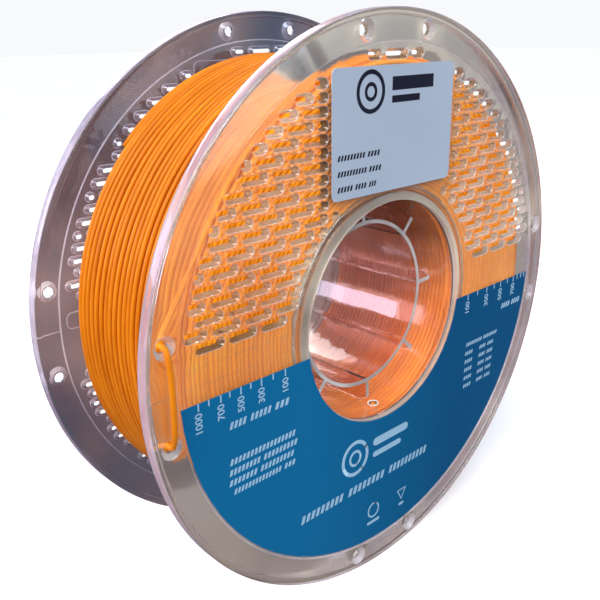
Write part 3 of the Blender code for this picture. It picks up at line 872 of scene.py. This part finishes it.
def words(x, z, widths, height, gap):
    """A row of plain slanted marks in groups, which stands for a line of words."""
    marks = []
    slant = 0.16 * height
    step = 0.80 * height
    for width in widths:
        count = max(round(width / step), 1)
        for k in range(count):
            low = x + k * width / count
            wide = width / count * 0.60
            marks.append(
                [
                    (low - slant, z - height / 2), (low + wide - slant, z - height / 2),
                    (low + wide + slant, z + height / 2), (low + slant, z + height / 2),
                ]
            )
        x += width + gap
    return marks


def hoop(x, z, outer, inner, steps=40, start=0.0, end=math.tau):
    """A ring as quads, or a part of one."""
    parts = []
    count = max(int(steps * (end - start) / math.tau), 2)
    for k in range(count):
        a = start + (end - start) * k / count
        b = start + (end - start) * (k + 1) / count
        parts.append(
            [
                (x + outer * math.cos(a), z + outer * math.sin(a)),
                (x + outer * math.cos(b), z + outer * math.sin(b)),
                (x + inner * math.cos(b), z + inner * math.sin(b)),
                (x + inner * math.cos(a), z + inner * math.sin(a)),
            ]
        )
    return parts


GAUGE = (
    (-83.5, "1000"), (-75.5, "700"), (-68.0, "500"), (-60.0, "300"), (-50.2, "100"),
    (47.0, "100"), (60.0, "300"), (70.0, "500"), (79.5, "700"),
)

light = []
gauge_z = BLUE_HIGH.z
for place, _ in GAUGE:
    light.append(block(place * MM - 0.25 * MM, gauge_z - 2.4 * MM, 0.5 * MM, 2.4 * MM))
for place in (-79.8, -72.2, -64.2, -55.3, 53.5, 65.2, 75.0, 82.5, 85.2, 87.6):
    light.append(block(place * MM - 0.25 * MM, gauge_z - 1.9 * MM, 0.5 * MM, 1.9 * MM))
light += words(-72.5 * MM, -16.2 * MM, (6.6 * MM, 8.6 * MM, 6.2 * MM), 2.3 * MM, 1.4 * MM)
light += words(-73.0 * MM, -28.4 * MM, (27.0 * MM,), 2.0 * MM, 1.2 * MM)
light += words(-73.4 * MM, -31.9 * MM, (12.4 * MM, 14.6 * MM), 2.0 * MM, 1.2 * MM)
light += words(-73.6 * MM, -35.4 * MM, (11.2 * MM, 14.4 * MM), 2.0 * MM, 1.2 * MM)
light += words(-72.0 * MM, -38.9 * MM, (19.6 * MM, 5.0 * MM), 1.8 * MM, 1.2 * MM)
light += words(72.0 * MM, -16.2 * MM, (6.4 * MM, 6.4 * MM), 2.2 * MM, 1.2 * MM)
light += words(48.0 * MM, -26.6 * MM, (11.0 * MM, 10.0 * MM), 1.5 * MM, 1.0 * MM)
for row in range(5):
    z = (-30.4 - 3.6 * row) * MM
    light += words(47.6 * MM, z, (5.4 * MM,), 1.5 * MM, 1.0 * MM)
    light += words((57.6 - 0.2 * row) * MM, z, (4.6 * MM, 4.4 * MM), 1.5 * MM, 1.2 * MM)
light += words(-44.0 * MM, -63.5 * MM, (21.0 * MM, 20.0 * MM, 23.0 * MM), 3.0 * MM, 2.4 * MM)
light += hoop(-17.5 * MM, -50.5 * MM, 7.0 * MM, 5.6 * MM)
light += hoop(-17.5 * MM, -50.5 * MM, 3.2 * MM, 2.2 * MM, 28)
light += [stadium(2.0 * MM, -48.2 * MM, 20.0 * MM, 3.2 * MM, 4)]
light += [stadium(0.0, -53.2 * MM, 16.0 * MM, 2.2 * MM, 4)]
light += hoop(-7.0 * MM, -77.0 * MM, 3.2 * MM, 2.5 * MM, 24)
light += [stadium(-7.0 * MM, -82.0 * MM, 7.0 * MM, 1.2 * MM, 4)]
light += hoop(9.5 * MM, -77.0 * MM, 3.2 * MM, 2.4 * MM, 3, 0.52, 0.52 + math.tau)
light += [stadium(9.5 * MM, -82.0 * MM, 3.0 * MM, 1.2 * MM, 4)]
blue_print = print_piece("blue_label_print", INK_LIGHT, light)

dark = []
dark += hoop(-12.5 * MM, 75.4 * MM, 6.6 * MM, 5.2 * MM)
dark += hoop(-12.5 * MM, 75.4 * MM, 2.9 * MM, 1.7 * MM, 28)
dark += [block(-2.4 * MM, 75.2 * MM, 21.0 * MM, 4.2 * MM), block(-2.4 * MM, 71.4 * MM, 14.0 * MM, 2.2 * MM)]
dark += words(-27.0 * MM, 56.6 * MM, (12.6 * MM, 6.0 * MM), 1.7 * MM, 1.0 * MM)
dark += words(-27.0 * MM, 51.8 * MM, (13.4 * MM, 6.0 * MM), 1.7 * MM, 1.0 * MM)
dark += words(-27.0 * MM, 47.0 * MM, (7.0 * MM, 5.4 * MM, 3.6 * MM), 1.7 * MM, 1.0 * MM)
white_print = print_piece("white_label_print", INK_DARK, dark)


def gauge_number(name, text, x, z):
    """A gauge number, turned to read upwards, as a thin mesh on the label."""
    curve = bpy.data.curves.new(name, "FONT")
    curve.body = text
    curve.size = 3.5 * MM
    curve.align_x = "RIGHT"
    curve.align_y = "CENTER"
    curve.offset = 0.06 * MM
    holder = bpy.data.objects.new(name + "_text", curve)
    bpy.context.scene.collection.objects.link(holder)
    bpy.context.view_layer.update()
    data = bpy.data.meshes.new_from_object(holder.evaluated_get(bpy.context.evaluated_depsgraph_get()))
    bpy.data.objects.remove(holder, do_unlink=True)
    turn = Matrix.Rotation(math.radians(90), 4, "X") @ Matrix.Rotation(math.radians(90), 4, "Z")
    data.transform(Matrix.Translation((x, PRINT_FACE, z)) @ turn)
    data.materials.clear()
    data.materials.append(INK_LIGHT)
    obj = bpy.data.objects.new(name, data)
    bpy.context.scene.collection.objects.link(obj)
    return obj


numbers = []
for place, text in GAUGE:
    side = "left" if place < 0 else "right"
    numbers.append(gauge_number(f"gauge_{side}_{text}", text, place * MM, gauge_z - 2.9 * MM))

# ---------------------------------------------------------------- fine lines of the moulding


def ridge(name, points, radius, material, closed=False):
    shape = bmesh.new()
    tube(shape, [Vector(p) for p in points], radius, 8, closed)
    return add_mesh(name, shape, material, 0)


def rounded_frame(low_x, high_x, low_z, high_z, corner, y, sign=1):
    """The points of a rectangle with round corners, flipped in x where sign is -1."""
    right, left, top, bottom = high_x - corner, low_x + corner, high_z - corner, low_z + corner
    points = []
    for quarter, (cx, cz) in enumerate(((right, top), (left, top), (left, bottom), (right, bottom))):
        for k in range(6):
            t = math.pi / 2 * (quarter + k / 5)
            points.append((sign * (cx + corner * math.cos(t)), y, cz + corner * math.sin(t)))
    return points


ridges = []
# The rear fine lines and the sticker pad line take the rear painted-highlight material.
for side, name, made in ((-1, "front", FRONT_CLEAR), (1, "rear", REAR_EDGE_PAINTED_HIGHLIGHT)):
    line, seam = (0.07 * MM, 0.08 * MM) if side < 0 else (0.22 * MM, 0.2 * MM)
    for sign, part in ((-1, "left"), (1, "right")):
        points = rounded_frame(
            COLLAR_RADIUS + 1.5 * MM, RECESS_RADIUS - 2.5 * MM, 0.2 * MM, 5.8 * MM, 2.0 * MM,
            side * PLATE_OUTER, sign,
        )
        ridges.append(ridge(f"window_line_{name}_{part}", points, line, made, True))
    points = [(x * MM, side * HALF_WIDTH, 0.4 * MM) for x in (-90.6, -94, -99)]
    ridges.append(ridge(f"rim_seam_{name}", points, seam, made))
half_x = WHITE_HIGH.x + 0.5 * MM
points = rounded_frame(
    -half_x, half_x, WHITE_LOW.z - 0.5 * MM, WHITE_HIGH.z + 0.5 * MM, 2.2 * MM, PLATE_OUTER,
)
ridges.append(ridge("sticker_pad_line_rear", points, 0.22 * MM, REAR_EDGE_PAINTED_HIGHLIGHT, True))

LIP_RADIUS = 1.9 * MM
along_y = Vector((0, 1, 0))
side_x = START_OUT.cross(along_y).normalized()
middle = START_OUT * (DRUM_BORE - 0.05 * MM) + Vector((0, START_Y, 0))
eyelet_points = []
for k in range(28):
    t = math.tau * k / 28
    eyelet_points.append(middle + side_x * LIP_RADIUS * math.cos(t) + along_y * LIP_RADIUS * math.sin(t))
# The lip is drawn in the core's painted-highlight material.
ridges.append(ridge("start_hole_lip", eyelet_points, 0.28 * MM, CORE_EDGE_PAINTED_HIGHLIGHT, True))

moulded = [front_flange, rear_flange, hub_drum, core_tube]
for piece in moulded + [winding, blue_print, white_print] + strands + numbers + ridges:
    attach(piece, ROOT)

# ---------------------------------------------------------------- floor, light and camera

floor_shape = bmesh.new()
reach = 6.0
floor_z = FLANGE_LOW.z
corners = [(-reach, -reach), (reach, -reach), (reach, reach), (-reach, reach)]
floor_shape.faces.new([floor_shape.verts.new((x, y, floor_z)) for x, y in corners])
floor_material, tree, shader, out, coords = new_material("pale_floor")
patches = noise_node(tree, coords, 3.0)
tree.links.new(ramp(tree, patches, [(0.3, grey(0.93)), (0.7, grey(0.96))]), shader.inputs["Base Color"])
shader.inputs["Roughness"].default_value = 0.7
shader.inputs["Emission Color"].default_value = (1.0, 1.0, 1.0, 1.0)
shader.inputs["Emission Strength"].default_value = 0.22
# Rays other than camera rays see the floor as dark grey: painted shade on what shows through and in the clear
# plastic.
painted_shade_floor = tree.nodes.new("ShaderNodeBsdfDiffuse")
painted_shade_floor.inputs["Color"].default_value = (0.25, 0.22, 0.23, 1.0)
direct = tree.nodes.new("ShaderNodeLightPath")
either = tree.nodes.new("ShaderNodeMixShader")
tree.links.new(direct.outputs["Is Camera Ray"], either.inputs["Fac"])
tree.links.new(painted_shade_floor.outputs[0], either.inputs[1])
tree.links.new(shader.outputs[0], either.inputs[2])
tree.links.new(either.outputs[0], out.inputs["Surface"])
floor = add_mesh("floor", floor_shape, floor_material, 0)
floor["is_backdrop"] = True

world = bpy.data.worlds.new("studio")
bpy.context.scene.world = world
world.use_nodes = True
tree = world.node_tree
sky = tree.nodes["Background"]
direction = tree.nodes.new("ShaderNodeTexCoord")
split = tree.nodes.new("ShaderNodeSeparateXYZ")
tree.links.new(direction.outputs["Generated"], split.inputs[0])
upward = tree.nodes.new("ShaderNodeMapRange")
upward.inputs["From Min"].default_value = -1.0
tree.links.new(split.outputs["Z"], upward.inputs["Value"])
SKY = [
    (0.40, (0.50, 0.44, 0.45)), (0.52, (0.74, 0.70, 0.70)),
    (0.60, (0.42, 0.44, 0.50)), (1.0, (0.24, 0.34, 0.52)),
]
tree.links.new(ramp(tree, upward.outputs["Result"], SKY), sky.inputs["Color"])
sky.inputs["Strength"].default_value = 0.75
plain = tree.nodes.new("ShaderNodeBackground")
plain.inputs["Color"].default_value = (0.94, 0.95, 0.97, 1.0)
seen = tree.nodes.new("ShaderNodeLightPath")
backdrop = tree.nodes.new("ShaderNodeMixShader")
tree.links.new(seen.outputs["Is Camera Ray"], backdrop.inputs["Fac"])
tree.links.new(sky.outputs[0], backdrop.inputs[1])
tree.links.new(plain.outputs[0], backdrop.inputs[2])
tree.links.new(backdrop.outputs[0], tree.nodes["World Output"].inputs["Surface"])


def lamp(name, place, aim, size, power, colour):
    data = bpy.data.lights.new(name, "AREA")
    data.shape = "RECTANGLE"
    data.size, data.size_y = size
    data.energy = power
    data.color = colour
    obj = bpy.data.objects.new(name, data)
    bpy.context.scene.collection.objects.link(obj)
    obj.location = place
    obj.visible_camera = False
    obj.rotation_euler = (Vector(aim) - Vector(place)).to_track_quat("-Z", "Y").to_euler()
    return obj


lamp("fill", (0.1, -0.9, 0.45), (0, 0, 0), (0.6, 0.5), 3.6, (0.86, 0.93, 1.0))
lamp("back", (0.2, 0.7, 0.5), (0, 0, 0), (0.6, 0.4), 3.0, (0.94, 0.96, 1.0))
lamp("bore", (-0.62, 0.55, 0.22), (0, 0, 0), (0.5, 0.26), 2.8, (0.70, 0.70, 1.0))
sun_data = bpy.data.lights.new("daylight", "SUN")
sun_data.energy = 2.7
sun_data.angle = math.radians(35)
sun_data.color = (1.0, 0.97, 0.93)
sun = bpy.data.objects.new("daylight", sun_data)
bpy.context.scene.collection.objects.link(sun)
sun.rotation_euler = Vector((0.72, 0.22, -0.80)).to_track_quat("-Z", "Y").to_euler()

camera_data = bpy.data.cameras.new("camera")
camera = bpy.data.objects.new("camera", camera_data)
bpy.context.scene.collection.objects.link(camera)
camera_data.lens = 46.19
camera_data.sensor_width = 36.0
camera_data.clip_start = 0.01
camera_data.clip_end = 50.0
eye = Vector((-195.84, -193.73, 94.34)) * MM
target = Vector((-11.7, 0.0, -0.5)) * MM
roll = math.radians(-0.77)
look = (target - eye).to_track_quat("-Z", "Y").to_matrix().to_4x4()
camera.matrix_world = Matrix.Translation(eye) @ look @ Matrix.Rotation(roll, 4, "Z")
bpy.context.scene.camera = camera

scene = bpy.context.scene
scene.view_settings.view_transform = "Standard"
scene.view_settings.look = "None"

low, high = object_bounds()
